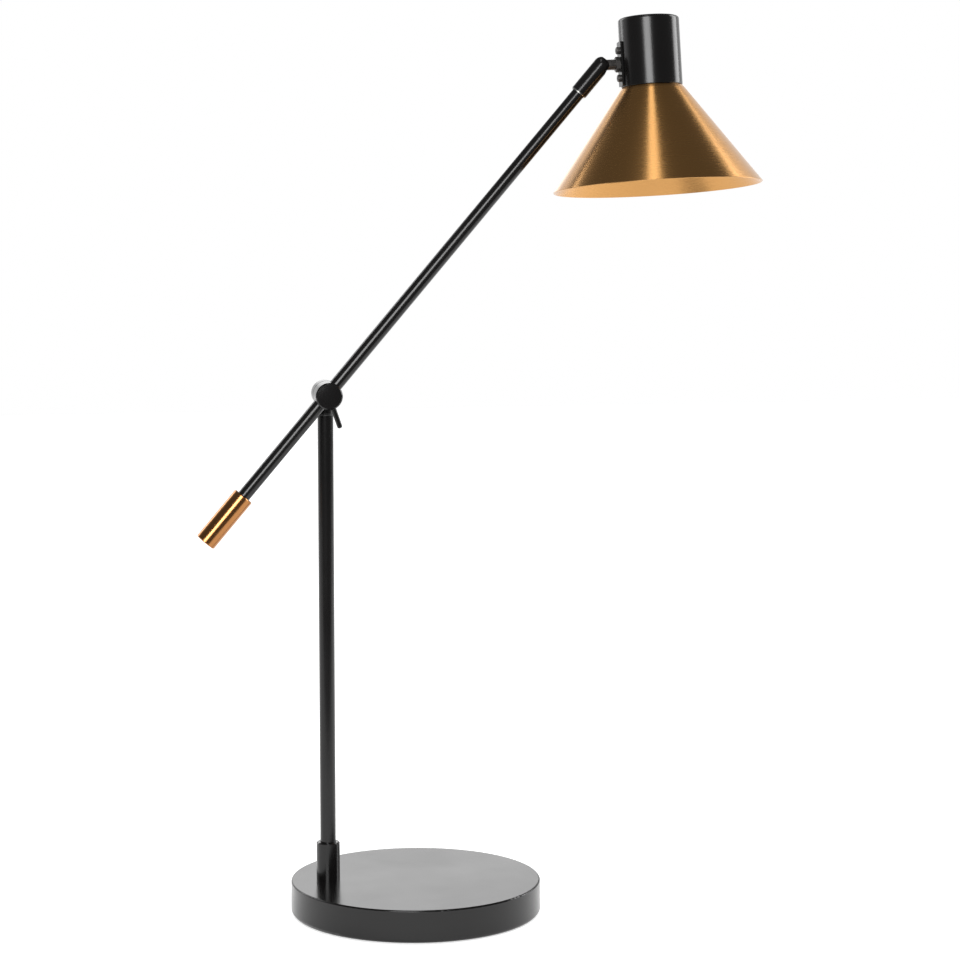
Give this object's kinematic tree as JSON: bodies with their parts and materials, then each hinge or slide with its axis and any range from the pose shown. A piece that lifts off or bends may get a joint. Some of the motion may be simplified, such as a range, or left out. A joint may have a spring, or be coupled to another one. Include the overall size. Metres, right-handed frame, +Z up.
{
  "type": "cone shade desk lamp",
  "caption": "Desk lamp on a round weighted base: a balanced arm tilts on a post and carries a cone shade on a ball joint, with a brass counterweight at its far end.",
  "frame": {"origin": "centre of the base's underside, on the surface that the lamp stands on", "axes": "+Z up; +X from the post towards the shade, in the arm's own plane; +Y away from the clamp knob"},
  "size_m": [0.4297, 0.192, 0.6865],
  "materials": {
    "powder_coat": "satin black powder coat",
    "brushed_brass": "fine brushed, lacquered",
    "cast_iron": "as cast, painted grey",
    "rubber": "matt moulded",
    "zinc_steel": "zinc plated",
    "black_steel": "blackened steel, satin",
    "bearing_plastic": "moulded natural nylon",
    "friction_fibre": "pressed fibre",
    "holder_plastic": "moulded, semi-matt",
    "steatite": "fired, unglazed",
    "contact_brass": "stamped, bright",
    "lead_insulation": "extruded"
  },
  "bodies": {
    "stand": {"base_cover": "powder_coat", "base_weight": "cast_iron", "base_plate": "zinc_steel", "base_plate_screws": "zinc_steel", "base_pad": "rubber", "cable_bushing": "rubber", "supply_leads": "lead_insulation", "base_nipple": "zinc_steel", "base_washer": "zinc_steel", "base_nut": "zinc_steel", "base_ferrule": "powder_coat", "ferrule_screw": "zinc_steel", "post_tube": "powder_coat", "post_top_bush": "holder_plastic", "swivel_washer": "holder_plastic"},
    "pivot_head": {"post_block": "powder_coat", "swivel_clip": "zinc_steel", "clamp_bolt": "zinc_steel", "pivot_cap": "powder_coat", "pivot_leads": "lead_insulation", "friction_washer": "friction_fibre"},
    "clamp": {"knob_washer": "bearing_plastic", "clamp_knob": "powder_coat", "clamp_lever": "powder_coat"},
    "arm": {"arm_block": "powder_coat", "arm_tube": "powder_coat", "counterweight": "brushed_brass", "counterweight_screw": "zinc_steel", "arm_end_bush": "zinc_steel", "swivel_screw": "zinc_steel", "mouth_ring": "zinc_steel", "arm_leads": "lead_insulation"},
    "knuckle": {"knuckle_body": "powder_coat", "ball_seat": "bearing_plastic", "ball_spring": "zinc_steel"},
    "neck": {"ball_stud": "black_steel", "neck_nut": "black_steel", "neck_lock_nut": "zinc_steel"},
    "head": {"bracket_plate": "powder_coat", "bracket_screws": "black_steel", "socket_cup": "powder_coat", "holder_bracket": "zinc_steel", "lampholder_body": "holder_plastic", "lampholder_insert": "steatite", "screw_shell": "contact_brass", "centre_contact": "contact_brass", "lampholder_cap": "holder_plastic", "holder_nipple": "zinc_steel", "holder_nut": "zinc_steel", "head_leads": "lead_insulation", "shade_ring": "holder_plastic", "shade": "brushed_brass"}
  },
  "joints": [
    {"name": "post_swivel", "type": "hinge", "parent": "stand", "child": "pivot_head", "pos_m": [-0.06652, 0.01149, 0.3864], "axis": [0, 0, 1], "range_deg": [-165, 165]},
    {"name": "arm_tilt", "type": "hinge", "parent": "pivot_head", "child": "arm", "pos_m": [-0.06652, 0.01149, 0.4018], "axis": [0, -1, 0], "range_deg": [-75, 33]},
    {"name": "clamp_turn", "type": "hinge", "parent": "pivot_head", "child": "clamp", "pos_m": [-0.06652, 0.01149, 0.4018], "axis": [0, -1, 0], "range_deg": [-20, 90]},
    {"name": "knuckle_swivel", "type": "hinge", "parent": "arm", "child": "knuckle", "pos_m": [0.14315, -0.00231, 0.64816], "axis": [0.6481, 0, 0.7615], "range_deg": [-150, 150]},
    {"name": "neck_tilt", "type": "hinge", "parent": "knuckle", "child": "neck", "pos_m": [0.14315, -0.00231, 0.64816], "axis": [0, 1, 0], "range_deg": [-45, 14]},
    {"name": "shade_turn", "type": "hinge", "parent": "neck", "child": "head", "pos_m": [0.18122, -0.00231, 0.64962], "axis": [0.9993, 0, 0.0384], "range_deg": [-60, 60]}
  ]
}
